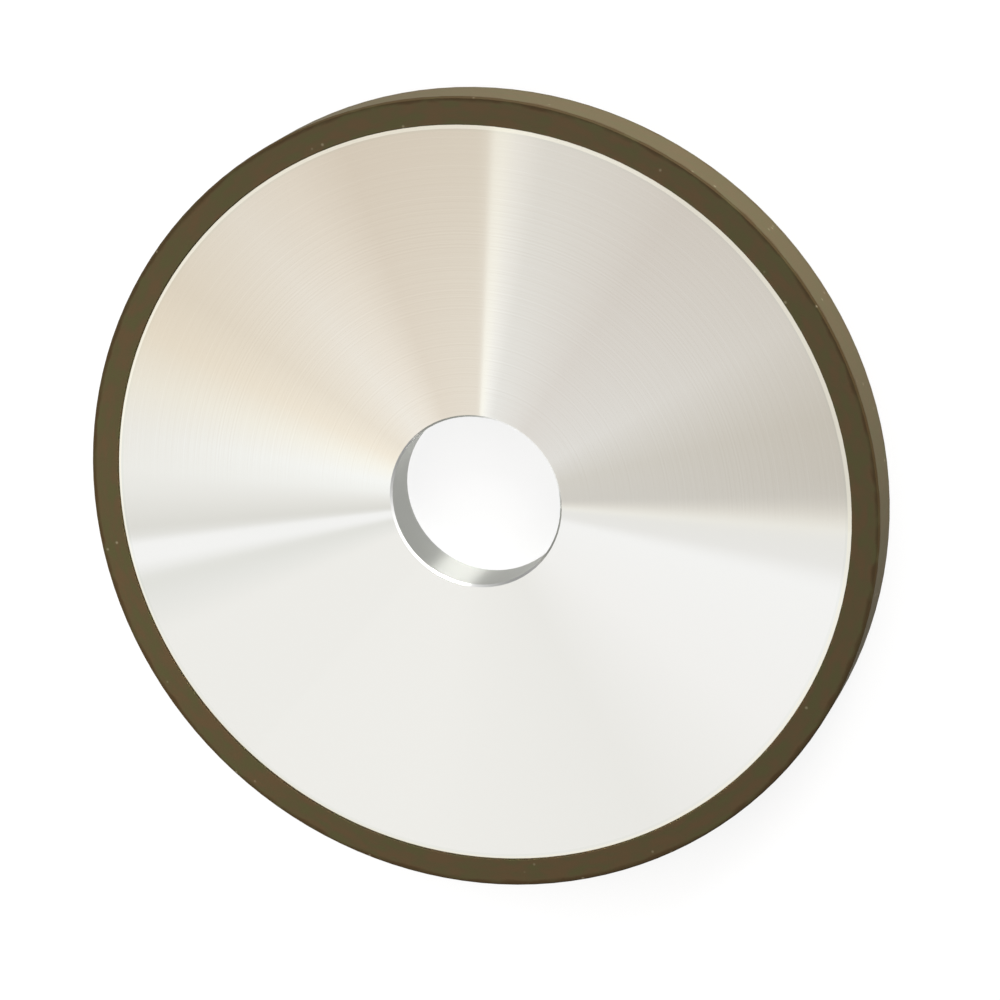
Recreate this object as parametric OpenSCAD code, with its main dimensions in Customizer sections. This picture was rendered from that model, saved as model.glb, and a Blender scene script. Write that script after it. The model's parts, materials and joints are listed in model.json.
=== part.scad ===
// Flat diamond grinding wheel: a turned aluminium body with a plain bore, and a ring of resin-bonded
// diamond pressed onto its edge. It lies on one face, with its axis along +Z and its origin where the
// axis meets that face.

/* [Wheel] */
// Outside diameter of the wheel
wheel_d = 150; // [100:5:250]
// Thickness from face to face, the same for the body and the rim
wheel_t = 10; // [8:0.5:25]

/* [Abrasive rim] */
// Radial depth of the diamond layer
rim_depth = 5; // [3:0.5:10]
// Leg of the small break on the two outer edges of the rim
rim_break = 0.3; // [0.1:0.1:1]

/* [Body] */
// Diameter of the bore
bore_d = 32; // [12:0.5:50]
// Leg of the 45 degree chamfer at each end of the bore
bore_chamfer = 0.4; // [0.2:0.1:1.5]
// Width of the bevel round each face of the body, next to the rim
bevel_w = 0.8; // [0.2:0.1:1.5]
// Drop of that bevel at the rim
bevel_drop = 0.3; // [0.05:0.05:0.5]

/* [Keyed seat] */
// Grooves turned round the seat, which the bond fills when it is pressed on
key_count = 3; // [1:1:4]
// Distance from one groove to the next
key_pitch = 2; // [1.4:0.1:2]
// Width of a groove at its mouth
key_mouth = 1.2; // [0.6:0.1:1.3]
// Width of a groove at its floor
key_floor = 0.6; // [0.1:0.1:1.1]
// Depth of a groove
key_depth = 0.5; // [0.1:0.1:1.5]

/* [Hidden] */
$fn = 240;

wheel_r = wheel_d / 2;
seat_r = wheel_r - rim_depth;
bore_r = bore_d / 2;
face_z = [0, wheel_t];

// Middle height of each groove in the seat, from the lowest to the highest
key_heights = [for (i = [0 : key_count - 1]) wheel_t / 2 + (i - (key_count - 1) / 2) * key_pitch];

// One groove in section, from its lower lip to its upper lip
function key_section(z) = [
    [seat_r, z - key_mouth / 2],
    [seat_r - key_depth, z - key_floor / 2],
    [seat_r - key_depth, z + key_floor / 2],
    [seat_r, z + key_mouth / 2]
];

// The line where body and rim meet, from the lower bevel up to the upper one. Both sections share it,
// so the two solids touch all over the seat and never overlap.
seat_line = concat(
    [[seat_r, face_z[0] + bevel_drop]],
    [for (z = key_heights) each key_section(z)],
    [[seat_r, face_z[1] - bevel_drop]]
);

function reversed(line) = [for (i = [len(line) - 1 : -1 : 0]) line[i]];

// Right half of the body's section: out along the lower face, up the seat, back along the upper face
// and down the bore.
body_section = concat(
    [[bore_r + bore_chamfer, face_z[0]], [seat_r - bevel_w, face_z[0]]],
    seat_line,
    [
        [seat_r - bevel_w, face_z[1]],
        [bore_r + bore_chamfer, face_z[1]],
        [bore_r, face_z[1] - bore_chamfer],
        [bore_r, face_z[0] + bore_chamfer]
    ]
);

// Right half of the rim's section: its two flat sides end in broken edges at the working face, and its
// inner side follows the seat.
rim_section = concat(
    [
        [seat_r, face_z[0]],
        [wheel_r - rim_break, face_z[0]],
        [wheel_r, face_z[0] + rim_break],
        [wheel_r, face_z[1] - rim_break],
        [wheel_r - rim_break, face_z[1]],
        [seat_r, face_z[1]]
    ],
    reversed(seat_line)
);

// Body turned from aluminium plate: flat faces to clamp between flanges, a chamfered bore, and a seat
// with grooves that key the bond.
module aluminium_body() {
    color("#d8d4cc")
        rotate_extrude()
            polygon(body_section);
}

// Ring of diamond grit in a brown resin bond, flush with both faces of the body.
module abrasive_rim() {
    color("#57482f")
        rotate_extrude()
            polygon(rim_section);
}

aluminium_body();
abrasive_rim();
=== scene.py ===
# %% [markdown]
# # A flat diamond grinding wheel
# The real wheel is two pieces: a disc turned from aluminium, and a brown ring of diamond grit in resin
# that is pressed onto its edge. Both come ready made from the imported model, at their true size, and this
# lesson gives them their finish. Most of it is about light, because a turned face is nothing without
# the light that plays on it.

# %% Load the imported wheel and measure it
import json
import math
import bpy
from mathutils import Matrix, Vector


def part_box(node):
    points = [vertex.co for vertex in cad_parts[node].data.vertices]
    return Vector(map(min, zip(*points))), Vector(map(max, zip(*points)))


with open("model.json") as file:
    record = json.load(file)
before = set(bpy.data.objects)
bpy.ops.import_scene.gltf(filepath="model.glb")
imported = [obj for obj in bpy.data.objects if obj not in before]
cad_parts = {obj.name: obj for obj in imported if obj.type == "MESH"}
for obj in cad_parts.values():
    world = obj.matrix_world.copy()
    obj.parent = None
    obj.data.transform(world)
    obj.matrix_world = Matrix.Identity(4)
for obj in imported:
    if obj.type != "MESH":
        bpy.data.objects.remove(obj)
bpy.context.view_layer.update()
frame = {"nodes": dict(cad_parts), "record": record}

MM = 0.001
SEAT_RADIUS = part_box("aluminium_body")[1].x
WHEEL_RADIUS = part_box("abrasive_rim")[1].x
WHEEL_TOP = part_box("abrasive_rim")[1].z
mounts = {mount["name"]: mount for mount in frame["record"]["mounts"]}
BORE_RADIUS = mounts["bore"]["dims"]["r_mm"] * MM
print(f"Wheel: radius {WHEEL_RADIUS / MM:.1f} mm, {WHEEL_TOP / MM:.1f} mm thick")
print(f"Seat: radius {SEAT_RADIUS / MM:.1f} mm. Bore: radius {BORE_RADIUS / MM:.1f} mm")

# %% [markdown]
# ## Directions
# The camera, the tent and the lamps are all placed by direction. A direction is easiest to change as
# two angles: how far it leans off the wheel's axis, and towards which bearing, counted from +X as on a
# plan. One helper gives the direction, and another turns a thing to look along it.

# %% Direction helpers


def leaning(angle, bearing):
    """Unit vector that leans off +Z by an angle, towards a bearing counted from +X."""
    across = math.sin(angle)
    return Vector((across * math.cos(bearing), across * math.sin(bearing), math.cos(angle)))


def facing(axis, up):
    """Rotation whose Z lies along axis and whose Y is as near to up as it can be."""
    right = up.cross(axis).normalized()
    return Matrix((right, axis.cross(right), axis)).transposed()


print("Straight up is", tuple(leaning(0, 0)))

# %% [markdown]
# ## The camera
# The photograph shows the wheel stood on edge. A wheel rolls away if nothing holds it, so here it lies
# flat and the camera leans over it instead, which looks the same. The picture's up is +Y.
#
# The photograph is a little squeezed in height, so no plain camera fits its outline, its outside band
# and its bore together. A shifted lens would, but every other view keeps the shift and would miss the
# wheel. This camera shares the error out between them.

# %% Place the camera
CAMERA_LEAN = math.radians(22.67)
CAMERA_BEARING = math.radians(47.3)
CAMERA_DISTANCE = 712.2 * MM
CAMERA_LENS_MM = 140.3
AIM = Vector((4.7 * MM, 0.7 * MM, WHEEL_TOP))
PLAN_UP = Vector((0, 1, 0))

to_camera = leaning(CAMERA_LEAN, CAMERA_BEARING)
camera_place = Matrix.Translation(AIM + to_camera * CAMERA_DISTANCE)
camera_data = bpy.data.cameras.new("camera")
camera_data.lens = CAMERA_LENS_MM
camera = bpy.data.objects.new("camera", camera_data)
camera.matrix_world = camera_place @ facing(to_camera, PLAN_UP).to_4x4()
bpy.context.scene.collection.objects.link(camera)
bpy.context.scene.camera = camera
bpy.context.scene.view_settings.view_transform = "Standard"
print("Camera at", [round(c / MM) for c in camera_place.translation], "mm")

# %% [markdown]
# ## Helpers for every finish
# Colours are easiest to compare with a photograph as sRGB hex values, but light adds up in linear
# values, so one function turns one into the other. A second adds a node with its settings and links,
# which keeps a finish short enough to read. Two more start a material and put it on a piece.

# %% Colour and node helpers


def linear(code):
    """Linear RGBA of an sRGB hex colour such as #808080."""
    channels = [int(code[i:i + 2], 16) / 255 for i in (1, 3, 5)]
    return (*[c / 12.92 if c <= 0.04045 else ((c + 0.055) / 1.055) ** 2.4 for c in channels], 1.0)


def add(tree, kind, inputs=None, **settings):
    """Add a node with its settings. inputs maps a socket to a value or to the output that feeds it."""
    node = tree.nodes.new(kind)
    for name, value in settings.items():
        setattr(node, name, value)
    for name, value in (inputs or {}).items():
        if isinstance(value, bpy.types.NodeSocket):
            tree.links.new(value, node.inputs[name])
        else:
            node.inputs[name].default_value = value
    return node


def finish(name):
    """A new material with one Principled shader: the material, its node tree and the shader."""
    material = bpy.data.materials.new(name)
    material.use_nodes = True
    tree = material.node_tree
    tree.nodes.clear()
    shader = add(tree, "ShaderNodeBsdfPrincipled")
    add(tree, "ShaderNodeOutputMaterial", {"Surface": shader.outputs["BSDF"]})
    return material, tree, shader


def dress(node, material):
    """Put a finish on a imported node."""
    frame["nodes"][node].material_slots[0].material = material
    print(f"{node} has the finish {material.name}")


print("Mid grey #808080 is", round(linear("#808080")[0], 3), "in linear values")

# %% [markdown]
# ## Turned aluminium
# The body is plain aluminium alloy, faced on a lathe and left bare. The tool's nose leaves one fine
# groove after another, so the face shines like a record: light smears across the grooves and stays
# sharp along them, and every lamp becomes a pair of bright fans that meet at the bore.
#
# The fans could be painted, but they would stand still when the camera moves. So the grooves are made,
# and the fans come from the light. First come the few places and directions that the grooves need.

# %% Find the grooves' directions
aluminium, tree, shader = finish("turned_aluminium")
PLAN = (1, 1, 0)
place = add(tree, "ShaderNodeTexCoord").outputs["Object"]
flat = add(tree, "ShaderNodeVectorMath", {0: place, 1: PLAN}, operation="MULTIPLY").outputs[0]
radius = add(tree, "ShaderNodeVectorMath", {0: flat}, operation="LENGTH").outputs["Value"]
geometry = add(tree, "ShaderNodeNewGeometry")
upright = geometry.outputs["Normal"]
along = add(tree, "ShaderNodeTangent", direction_type="RADIAL", axis="Z").outputs[0]
across = add(tree, "ShaderNodeVectorMath", {0: along, 1: upright}, operation="CROSS_PRODUCT").outputs[0]
print(f"{aluminium.name}: grooves run round the axis")

# %% [markdown]
# No two grooves lean quite alike, and noise along the radius gives each its own. The lean is also made
# to grow from the bore to the seat. That isn't taken from a real wheel: it lets the light be set
# separately for the middle of the face and for its edge. Real grooves of such a cut lie about 0.05 mm
# apart. That is too fine to show, so they are drawn three times as coarse.

# %% Lean the grooves
GROOVE_PITCH = 0.15 * MM
GROOVE_SPREAD = math.radians(4)
GROOVE_DETAIL = 2.0
LEAN_AT_BORE = math.radians(7)
LEAN_AT_SEAT = math.radians(14)
NOISE_LOW = 0.25
NOISE_HIGH = 0.75
stray_tangent = math.tan(GROOVE_SPREAD / 2)
steady = add(tree, "ShaderNodeMapRange", {
    "Value": radius, "From Min": BORE_RADIUS, "From Max": SEAT_RADIUS,
    "To Min": math.tan(LEAN_AT_BORE), "To Max": math.tan(LEAN_AT_SEAT)}).outputs[0]
groove = add(tree, "ShaderNodeTexNoise", {
    "W": radius, "Scale": 1 / (2 * GROOVE_PITCH), "Detail": GROOVE_DETAIL},
    noise_dimensions="1D").outputs[0]
stray = add(tree, "ShaderNodeMapRange", {
    "Value": groove, "From Min": NOISE_LOW, "From Max": NOISE_HIGH,
    "To Min": -stray_tangent, "To Max": stray_tangent}).outputs[0]
lean = add(tree, "ShaderNodeMath", {0: steady, 1: stray}, operation="ADD").outputs[0]
print(f"About {(SEAT_RADIUS - BORE_RADIUS) / GROOVE_PITCH:.0f} grooves from bore to seat")

# %% [markdown]
# Three more places have a look of their own: the bored wall of the hole, which is duller, the narrow
# bevel beside the rim, and a fine, slightly greyer line just inside that bevel. How level the surface
# lies tells face, bevel and wall apart, and the radius finds the line.

# %% Tell face, bevel, line and bore apart
BEVEL_WIDTH = 0.8 * MM
BEVEL_DROP = 0.3 * MM
LINE_WIDTH = 0.45 * MM
LINE_RADIUS = SEAT_RADIUS - BEVEL_WIDTH - LINE_WIDTH / 2
FLAT_FROM = 0.99
WALL_BELOW = 0.1
BEVEL_LEVEL = math.cos(math.atan2(BEVEL_DROP, BEVEL_WIDTH))
BEVEL_MARGIN = 0.04
up = add(tree, "ShaderNodeSeparateXYZ", {0: geometry.outputs["True Normal"]}).outputs["Z"]
level = add(tree, "ShaderNodeMath", {0: up}, operation="ABSOLUTE").outputs[0]
on_face = add(tree, "ShaderNodeMath", {0: level, 1: FLAT_FROM}, operation="GREATER_THAN").outputs[0]
in_bore = add(tree, "ShaderNodeMath", {0: level, 1: WALL_BELOW}, operation="LESS_THAN").outputs[0]
on_bevel = add(tree, "ShaderNodeMath", {0: level, 1: BEVEL_LEVEL, 2: BEVEL_MARGIN},
               operation="COMPARE").outputs[0]
on_line = add(tree, "ShaderNodeMath", {0: radius, 1: LINE_RADIUS, 2: LINE_WIDTH / 2},
              operation="COMPARE").outputs[0]
print(f"The bevel leans {math.degrees(math.acos(BEVEL_LEVEL)):.1f} degrees")

# %% [markdown]
# Now the face's normal is pushed across the grooves by their lean, and the gloss is stretched the same
# way. Anisotropic gloss alone would give fans too, but without the separate grooves the face looks
# like satin foil.

# %% Bend the face and stretch its gloss
QUARTER_TURN = 0.25
tilt = add(tree, "ShaderNodeMath", {0: lean, 1: on_face}, operation="MULTIPLY").outputs[0]
push = add(tree, "ShaderNodeVectorMath", {0: across, "Scale": tilt}, operation="SCALE").outputs[0]
bent = add(tree, "ShaderNodeVectorMath", {0: upright, 1: push}, operation="ADD").outputs[0]
normal = add(tree, "ShaderNodeVectorMath", {0: bent}, operation="NORMALIZE").outputs[0]
tree.links.new(normal, shader.inputs["Normal"])
tree.links.new(along, shader.inputs["Tangent"])
shader.inputs["Metallic"].default_value = 1.0
shader.inputs["Anisotropic"].default_value = 1.0
shader.inputs["Anisotropic Rotation"].default_value = QUARTER_TURN
print("Gloss is stretched across the grooves")

# %% [markdown]
# Bare aluminium is nearly white, and the bevel is a touch warmer. The bore is painted grey: painted shade
# that stands for the darker light the wall reflects down in the hole. Its gloss is much rougher, because a
# slender boring tool leaves a coarser cut than the facing tool does.

# %% Colour the aluminium
ALUMINIUM = "#F3F3F1"
BEVEL_ALUMINIUM = "#F2F0E5"
LINED_ALUMINIUM = "#EFF0ED"
BORE_SHADE_ALUMINIUM = "#A3A49F"
FACED_ROUGHNESS = 0.07
BORED_ROUGHNESS = 0.3
faced = add(tree, "ShaderNodeMix", {0: on_bevel, 6: linear(ALUMINIUM), 7: linear(BEVEL_ALUMINIUM)},
            data_type="RGBA").outputs[2]
lined = add(tree, "ShaderNodeMix", {0: on_line, 6: faced, 7: linear(LINED_ALUMINIUM)},
            data_type="RGBA").outputs[2]
# The bore's grey base colour is painted shade, not a colour of the metal.
metal = add(tree, "ShaderNodeMix", {0: in_bore, 6: lined, 7: linear(BORE_SHADE_ALUMINIUM)},
            data_type="RGBA").outputs[2]
roughness = add(tree, "ShaderNodeMapRange", {
    "Value": in_bore, "To Min": FACED_ROUGHNESS, "To Max": BORED_ROUGHNESS}).outputs[0]
tree.links.new(metal, shader.inputs["Base Color"])
tree.links.new(roughness, shader.inputs["Roughness"])
dress("aluminium_body", aluminium)

# %% [markdown]
# ## Diamond grit in resin
# Such rims are usually phenolic resin, pressed hot with diamond grit and filler. Pressing leaves it
# dull, so it gives the eye almost no highlight, only a dark olive brown with redder and greener clouds.
# A single brown would look like moulded plastic.
#
# The clouds are longer round the wheel than across it. So the noise is given its place on the rim in
# clouds instead of metres: 4 mm to a cloud round the wheel, and 1.6 mm in height and in radius.

# %% Cloud the bond
BOND = "#403722"
BOND_RED = "#443622"
BOND_GREEN = "#3D3921"
CLOUD_LENGTH = 4.0 * MM
CLOUD_WIDTH = 1.6 * MM
CLOUD_DETAIL = 3.0
GREEN_UP_TO = 0.38
BROWN_AT = 0.5
RED_FROM = 0.62
resin, tree, shader = finish("resin_bonded_diamond")
place = add(tree, "ShaderNodeTexCoord").outputs["Object"]
flat = add(tree, "ShaderNodeVectorMath", {0: place, 1: PLAN}, operation="MULTIPLY").outputs[0]
radius = add(tree, "ShaderNodeVectorMath", {0: flat}, operation="LENGTH").outputs["Value"]
outward = add(tree, "ShaderNodeVectorMath", {0: flat}, operation="NORMALIZE").outputs[0]
around = add(tree, "ShaderNodeVectorMath", {0: outward, "Scale": WHEEL_RADIUS / CLOUD_LENGTH},
             operation="SCALE").outputs[0]
height = add(tree, "ShaderNodeVectorMath", {0: place, 1: (0, 0, 1 / CLOUD_WIDTH)},
             operation="MULTIPLY").outputs[0]
spot = add(tree, "ShaderNodeVectorMath", {0: around, 1: height}, operation="ADD").outputs[0]
depth = add(tree, "ShaderNodeMath", {0: radius, 1: 1 / CLOUD_WIDTH}, operation="MULTIPLY").outputs[0]
cloud = add(tree, "ShaderNodeTexNoise", {
    "Vector": spot, "W": depth, "Scale": 1.0, "Detail": CLOUD_DETAIL}, noise_dimensions="4D").outputs[0]
tint = add(tree, "ShaderNodeValToRGB", {"Fac": cloud})
clouds = tint.color_ramp.elements
clouds[0].position = GREEN_UP_TO
clouds[0].color = linear(BOND_GREEN)
clouds[1].position = RED_FROM
clouds[1].color = linear(BOND_RED)
clouds.new(BROWN_AT).color = linear(BOND)
print(f"About {2 * math.pi * WHEEL_RADIUS / CLOUD_LENGTH:.0f} clouds round the rim")

# %% [markdown]
# The outside of the rim is trued with a dressing stone, which opens fresh, greyer bond. Its two corners are
# darkened with painted shade, which stands for the dark lines along the rim's edges. How near a point lies
# to a corner is its radius plus its distance from the middle height, and the clouds make that border wander.

# %% True the outside and paint shade on the corners
TRUED_BOND = "#3D3727"
TRUED_DEPTH = 0.15 * MM
TRUED_SHARE = 0.65
CORNER_SHADE_BOND = "#2C1F0A"
CORNER_SHADE_SHARE = 0.7
CORNER_SOLID = 0.45 * MM
CORNER_FADED = 1.0 * MM
CORNER_WANDER = 1.8 * MM
MIDDLE_HEIGHT = WHEEL_TOP / 2
CORNER = WHEEL_RADIUS + MIDDLE_HEIGHT
outside = add(tree, "ShaderNodeMath", {0: radius, 1: WHEEL_RADIUS - TRUED_DEPTH},
              operation="GREATER_THAN").outputs[0]
trued = add(tree, "ShaderNodeMath", {0: outside, 1: TRUED_SHARE}, operation="MULTIPLY").outputs[0]
trimmed = add(tree, "ShaderNodeMix", {0: trued, 6: tint.outputs[0], 7: linear(TRUED_BOND)},
              data_type="RGBA").outputs[2]
level = add(tree, "ShaderNodeSeparateXYZ", {0: place}).outputs["Z"]
offset = add(tree, "ShaderNodeMath", {0: level, 1: MIDDLE_HEIGHT}, operation="SUBTRACT").outputs[0]
distance = add(tree, "ShaderNodeMath", {0: offset}, operation="ABSOLUTE").outputs[0]
reach = add(tree, "ShaderNodeMath", {0: radius, 1: distance}, operation="ADD").outputs[0]
wander = add(tree, "ShaderNodeMapRange", {
    "Value": cloud, "To Min": -CORNER_WANDER / 2, "To Max": CORNER_WANDER / 2}).outputs[0]
wandering = add(tree, "ShaderNodeMath", {0: reach, 1: wander}, operation="ADD").outputs[0]
# The darker corners are painted shade along the rim's edges.
corner_shade = add(tree, "ShaderNodeMapRange", {
    "Value": wandering, "From Min": CORNER - CORNER_FADED, "From Max": CORNER - CORNER_SOLID,
    "To Max": CORNER_SHADE_SHARE}).outputs[0]
bond = add(tree, "ShaderNodeMix", {0: corner_shade, 6: trimmed, 7: linear(CORNER_SHADE_BOND)},
           data_type="RGBA").outputs[2]
print(f"Corners are dark for {CORNER_SOLID / MM} mm and fade out by {CORNER_FADED / MM} mm")

# %% [markdown]
# Real grit of about 0.1 mm is finer than a pixel, and only a stray clump catches the eye as a pale
# speck. Voronoi cells of 1.9 mm place them: the few cells whose random value is high show one dot each.
# A dot fades out 0.36 mm from its centre, which is far coarser than the grit, so that it shows. The
# grain of the pressed surface is drawn coarser too, as noise of 0.3 mm, and it only roughens the
# shading. Roughness and gloss start from those of dull resin and are then matched to the photograph.

# %% Strew the grit
GRIT = "#A89F86"
GRIT_SPACING = 1.9 * MM
SPECK_RADIUS = 0.36 * MM
SPECK_FROM = 0.86
SPECK_STRENGTH = 0.3
GRAIN_SIZE = 0.3 * MM
GRAIN_HEIGHT = 0.03 * MM
GRAIN_STRENGTH = 0.3
GRAIN_DETAIL = 2.0
BOND_ROUGHNESS = 0.75
BOND_GLOSS = 0.1
cells = add(tree, "ShaderNodeTexVoronoi", {"Vector": place, "Scale": 1 / GRIT_SPACING})
chance = add(tree, "ShaderNodeSeparateColor", {0: cells.outputs["Color"]}).outputs[0]
shows = add(tree, "ShaderNodeMath", {0: chance, 1: SPECK_FROM}, operation="GREATER_THAN").outputs[0]
dot = add(tree, "ShaderNodeMapRange", {
    "Value": cells.outputs["Distance"], "From Min": SPECK_RADIUS / GRIT_SPACING, "From Max": 0.0,
    "To Min": 0.0, "To Max": SPECK_STRENGTH}).outputs[0]
speck = add(tree, "ShaderNodeMath", {0: dot, 1: shows}, operation="MULTIPLY").outputs[0]
gritted = add(tree, "ShaderNodeMix", {0: speck, 6: bond, 7: linear(GRIT)}, data_type="RGBA").outputs[2]
grain = add(tree, "ShaderNodeTexNoise", {
    "Vector": place, "Scale": 1 / GRAIN_SIZE, "Detail": GRAIN_DETAIL}).outputs[0]
bump = add(tree, "ShaderNodeBump", {
    "Height": grain, "Strength": GRAIN_STRENGTH, "Distance": GRAIN_HEIGHT}).outputs[0]
tree.links.new(gritted, shader.inputs["Base Color"])
tree.links.new(bump, shader.inputs["Normal"])
shader.inputs["Roughness"].default_value = BOND_ROUGHNESS
shader.inputs["Specular IOR Level"].default_value = BOND_GLOSS
dress("abrasive_rim", resin)

# %% [markdown]
# ## Floor
# The wheel lies on a table of opal acrylic that is lit from below, as packshots are often made. It
# stays evenly white right up to the wheel and through the hole, where a paper floor would go grey. It
# is so large that its edge is never seen.

# %% Lay the floor
FLOOR_SIZE = 12.0
OPAL = "#707070"
OPAL_GLOW = "#F7F7F7"
OPAL_STRENGTH = 0.85
OPAL_ROUGHNESS = 0.9
half = FLOOR_SIZE / 2
corners = [(-half, -half, 0), (half, -half, 0), (half, half, 0), (-half, half, 0)]
floor_mesh = bpy.data.meshes.new("floor")
floor_mesh.from_pydata(corners, [], [(0, 1, 2, 3)])
floor = bpy.data.objects.new("floor", floor_mesh)
bpy.context.scene.collection.objects.link(floor)
opal, tree, shader = finish("opal_acrylic")
shader.inputs["Base Color"].default_value = linear(OPAL)
shader.inputs["Roughness"].default_value = OPAL_ROUGHNESS
shader.inputs["Emission Color"].default_value = linear(OPAL_GLOW)
shader.inputs["Emission Strength"].default_value = OPAL_STRENGTH
floor_mesh.materials.append(opal)
print(f"The floor is {FLOOR_SIZE:.0f} m wide")

# %% [markdown]
# ## The tent
# The wheel stands in a tent of pale cloth, and the face is a mirror of that tent. A groove sends to the
# camera the light from one direction only: the one for which the groove's own normal lies halfway
# between light and camera. So the cloth is laid out by that halfway direction, and then its bearing
# is simply the bearing on the wheel where it shows. The tent is hung once, for the camera placed above,
# and stays put when another view moves the camera: the fans then fall in other places.
#
# The world's light stands for the cloth. A mesh would get in the way of other views. The price is that
# light comes from the same directions at every point of the wheel, as from a very large tent.

# %% Find the halfway direction
world = bpy.data.worlds.new("cloth_tent")
world.use_nodes = True
bpy.context.scene.world = world
tree = world.node_tree
tree.nodes.clear()
direction = add(tree, "ShaderNodeTexCoord").outputs["Generated"]
between = add(tree, "ShaderNodeVectorMath", {0: direction, 1: to_camera}, operation="ADD").outputs[0]
halfway = add(tree, "ShaderNodeVectorMath", {0: between}, operation="NORMALIZE").outputs[0]
part = add(tree, "ShaderNodeSeparateXYZ", {0: halfway})
bearing = add(tree, "ShaderNodeMath", {0: part.outputs["Y"], 1: part.outputs["X"]},
              operation="ARCTAN2").outputs[0]
lean = add(tree, "ShaderNodeMath", {0: part.outputs["Z"]}, operation="ARCCOSINE").outputs[0]
print("The tent is laid out round a camera direction of", [round(c, 2) for c in to_camera])

# %% [markdown]
# Each strip of cloth is a bearing in degrees and a colour. The narrow white ones near 88, 192 and 350
# degrees stand for gaps between the cloths, and make the sharp fans. The strips were set one by one: how
# bright and how warm the photographed face is at a bearing was read first, and each strip was then
# changed until the rendered face came close. Most are brighter than the face, because metal returns
# only part of the light. A colour ramp has a first and a last end, which would show as an edge, so both
# are laid where the cloth is even.

# %% Hang the cloth
CLOTH = [
    (1.5, "#E9E5DD"),
    (4.5, "#D6D2CB"),
    (17, "#D6D1C8"),
    (32, "#E4E0DA"),
    (58, "#E0DAD3"),
    (80, "#EAE7E1"),
    (84.5, "#F7F4EE"),
    (86.7, "#FFFCF2"),
    (88.8, "#FFFBF0"),
    (89.5, "#E9E0D2"),
    (112, "#E7DCCD"),
    (122, "#F1E8DB"),
    (132, "#F4EDE2"),
    (147, "#F0E6D6"),
    (156, "#F8EEDD"),
    (164, "#FEFAEF"),
    (172, "#FFFFFC"),
    (178, "#FBFBF8"),
    (183, "#F1F0EC"),
    (188.8, "#E4E3DE"),
    (190.4, "#FFFFFF"),
    (193.8, "#FFFFFF"),
    (196.5, "#EBEBE7"),
    (200, "#F0F0ED"),
    (206, "#F9F8F5"),
    (260, "#FAF9F6"),
    (300, "#F5F4F1"),
    (325, "#FDFCFB"),
    (350.2, "#FFFFFF"),
    (353.8, "#F2F1EF"),
    (357.6, "#F1F0ED"),
    (359.8, "#F7F5EE"),
]
SEAM = 230
FULL_TURN = 360
past = add(tree, "ShaderNodeMath", {0: bearing, 1: math.radians(SEAM)}, operation="SUBTRACT").outputs[0]
turns = add(tree, "ShaderNodeMath", {0: past, 1: math.radians(FULL_TURN)}, operation="DIVIDE").outputs[0]
share = add(tree, "ShaderNodeMath", {0: turns}, operation="FRACT").outputs[0]
ramp = add(tree, "ShaderNodeValToRGB", {"Fac": share})
elements = ramp.color_ramp.elements
elements.remove(elements[1])
strips = sorted(((degrees - SEAM) % FULL_TURN / FULL_TURN, code) for degrees, code in CLOTH)
for number, (position, code) in enumerate(strips):
    strip = elements[0] if number == 0 else elements.new(position)
    strip.position = position
    strip.color = linear(code)
print(f"The tent hangs in {len(elements)} strips")

# %% [markdown]
# On the upper half of the wheel the face grows warmer and darker towards the rim, so there the cloth
# is tinted by lean: cool near the bore's lean, warm near the seat's.

# %% Tint the upper cloth
TOP_AT_BORE = (1.08, 1.10, 1.13)
TOP_AT_SEAT = (0.918, 0.90, 0.876)
UNTINTED = (1, 1, 1)
UPPER_FROM = -0.01
UPPER_FULL = 0.04
SEAT_MARGIN = math.radians(2.5)
upper = add(tree, "ShaderNodeMapRange", {
    "Value": part.outputs["Y"], "From Min": UPPER_FROM, "From Max": UPPER_FULL}).outputs[0]
towards_seat = add(tree, "ShaderNodeMapRange", {
    "Value": lean, "From Min": LEAN_AT_BORE, "From Max": LEAN_AT_SEAT + SEAT_MARGIN}).outputs[0]
tinted = add(tree, "ShaderNodeMix", {0: towards_seat, 4: TOP_AT_BORE, 5: TOP_AT_SEAT},
             data_type="VECTOR").outputs[1]
tone = add(tree, "ShaderNodeMix", {0: upper, 4: UNTINTED, 5: tinted}, data_type="VECTOR").outputs[1]
face_cloth = add(tree, "ShaderNodeVectorMath", {0: ramp.outputs[0], 1: tone},
                 operation="MULTIPLY").outputs[0]
print("The cloth is cooler towards the bore and warmer towards the seat")

# %% [markdown]
# Beyond the lean of the face's grooves comes plain cloth, which lights the bevel. It is brighter on the
# left. Further out and high up, the tent's roof is brighter still, and it lights the dull rim. Down at
# the horizon the tent is dim, which draws a thin grey line round the bore. From low angles that also
# turns the far half of the face grey.

# %% Add the plain cloth, the roof and the horizon
FACE_LEAN = math.radians(20.5)
EDGE_LEAN = math.radians(26)
LEFT_EDGE = leaning(math.radians(90), math.radians(195))
LEFT_EDGE_FROM = 0.2
LEFT_EDGE_FULL = 0.38
LEFT_EDGE_GAIN = 1.2
ROOF = 3.0
ROOF_LEAN_FROM = math.radians(28)
ROOF_LEAN_FULL = math.radians(42)
ROOF_LEVEL_FROM = 0.3
ROOF_LEVEL_FULL = 0.7
HORIZON_LOW = 0.16
HORIZON_HIGH = 0.42
HORIZON_SHADE = 0.35
level = add(tree, "ShaderNodeSeparateXYZ", {0: direction}).outputs["Z"]
leftward = add(tree, "ShaderNodeVectorMath", {0: halfway, 1: LEFT_EDGE},
               operation="DOT_PRODUCT").outputs["Value"]
plain = add(tree, "ShaderNodeMapRange", {
    "Value": leftward, "From Min": LEFT_EDGE_FROM, "From Max": LEFT_EDGE_FULL,
    "To Min": 1.0, "To Max": LEFT_EDGE_GAIN}).outputs[0]
beyond = add(tree, "ShaderNodeMapRange", {
    "Value": lean, "From Min": ROOF_LEAN_FROM, "From Max": ROOF_LEAN_FULL}).outputs[0]
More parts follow.
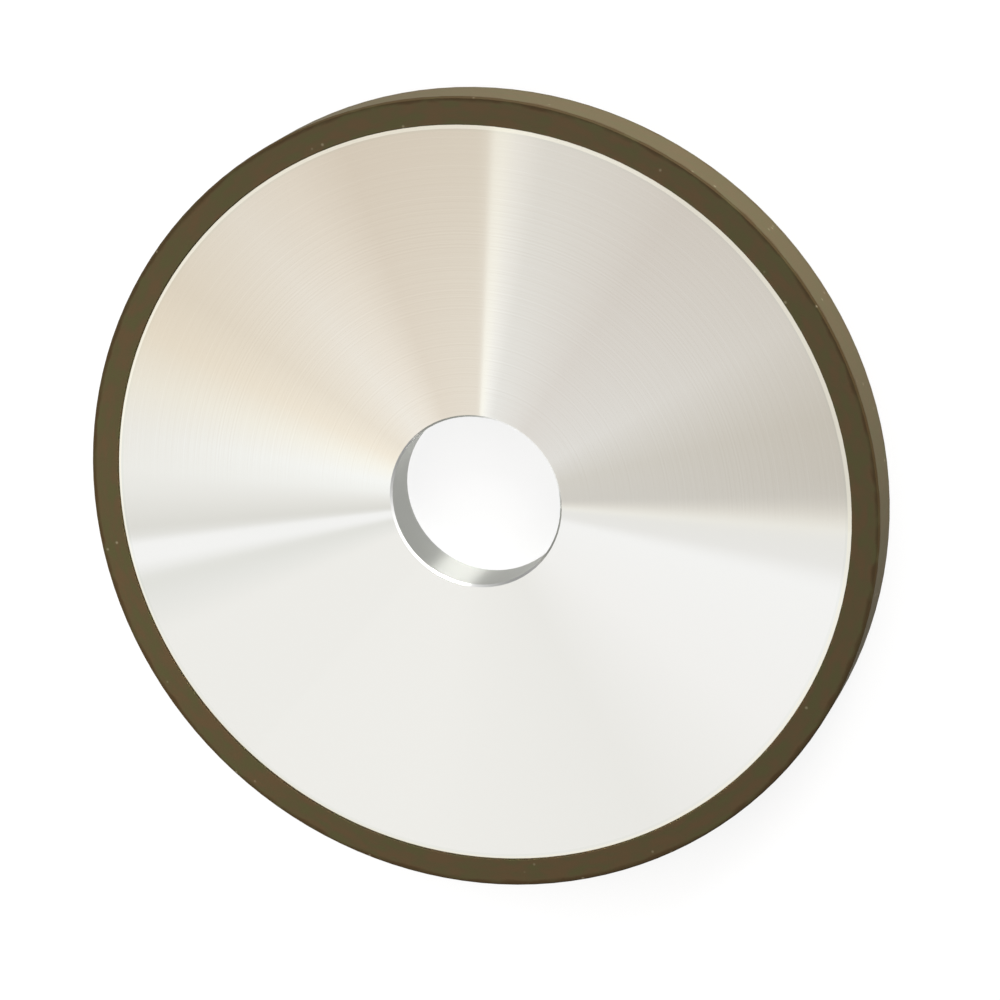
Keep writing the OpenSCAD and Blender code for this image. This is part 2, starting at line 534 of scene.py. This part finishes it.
high = add(tree, "ShaderNodeMapRange", {
    "Value": level, "From Min": ROOF_LEVEL_FROM, "From Max": ROOF_LEVEL_FULL,
    "To Max": ROOF - 1}).outputs[0]
roof = add(tree, "ShaderNodeMath", {0: beyond, 1: high, 2: plain}, operation="MULTIPLY_ADD").outputs[0]
outer = add(tree, "ShaderNodeMapRange", {"Value": lean, "From Min": FACE_LEAN, "From Max": EDGE_LEAN},
            interpolation_type="SMOOTHSTEP").outputs[0]
cloth = add(tree, "ShaderNodeMix", {0: outer, 6: face_cloth, 7: roof}, data_type="RGBA").outputs[2]
dim = add(tree, "ShaderNodeMapRange", {
    "Value": level, "From Min": HORIZON_LOW, "From Max": HORIZON_HIGH,
    "To Min": HORIZON_SHADE, "To Max": 1.0}, interpolation_type="SMOOTHSTEP").outputs[0]
tent = add(tree, "ShaderNodeVectorMath", {0: cloth, "Scale": dim}, operation="SCALE").outputs[0]
background = add(tree, "ShaderNodeBackground", {"Color": tent, "Strength": 1.0})
add(tree, "ShaderNodeOutputWorld", {"Surface": background.outputs[0]})
print(f"Up to {ROOF + LEFT_EDGE_GAIN - 1:.1f} times plain cloth in the roof, {HORIZON_SHADE} at the horizon")

# %% [markdown]
# ## Lamps
# Three lamps do what the tent can't. One lies low beyond the upper right and a small one close by on
# the left. They make the dull rim brighter on those sides and would burn spots into the polished face,
# so they are hidden from gloss. The third shows in gloss alone: it shines down into the bore and draws
# the bright patch low on its wall. A real lamp does both at once, and a photographer would shade it
# with flags instead.

# %% Set the lamps


def lamp(name, watts, width, height, lean, bearing, distance, dull=True, gloss=True):
    """Add a rectangular lamp that faces the wheel. Sizes in metres, angles in degrees."""
    data = bpy.data.lights.new(name, "AREA")
    data.shape = "RECTANGLE"
    data.size = width
    data.size_y = height
    data.energy = watts
    toward = leaning(math.radians(lean), math.radians(bearing))
    thing = bpy.data.objects.new(name, data)
    turned = facing(toward, Vector((0, 0, 1))).to_4x4()
    thing.matrix_world = Matrix.Translation(toward * distance) @ turned
    thing.visible_camera = False
    thing.visible_diffuse = dull
    thing.visible_glossy = gloss
    bpy.context.scene.collection.objects.link(thing)
    print(f"{name}: {watts} W from bearing {bearing}")


lamp("strip_lamp", watts=42.0, width=0.5, height=0.2, lean=84, bearing=64, distance=1.2, gloss=False)
lamp("bore_lamp", watts=42.0, width=0.72, height=0.2, lean=57, bearing=84, distance=1.2, dull=False)
lamp("side_lamp", watts=0.8, width=0.24, height=0.06, lean=72, bearing=197, distance=0.24, gloss=False)
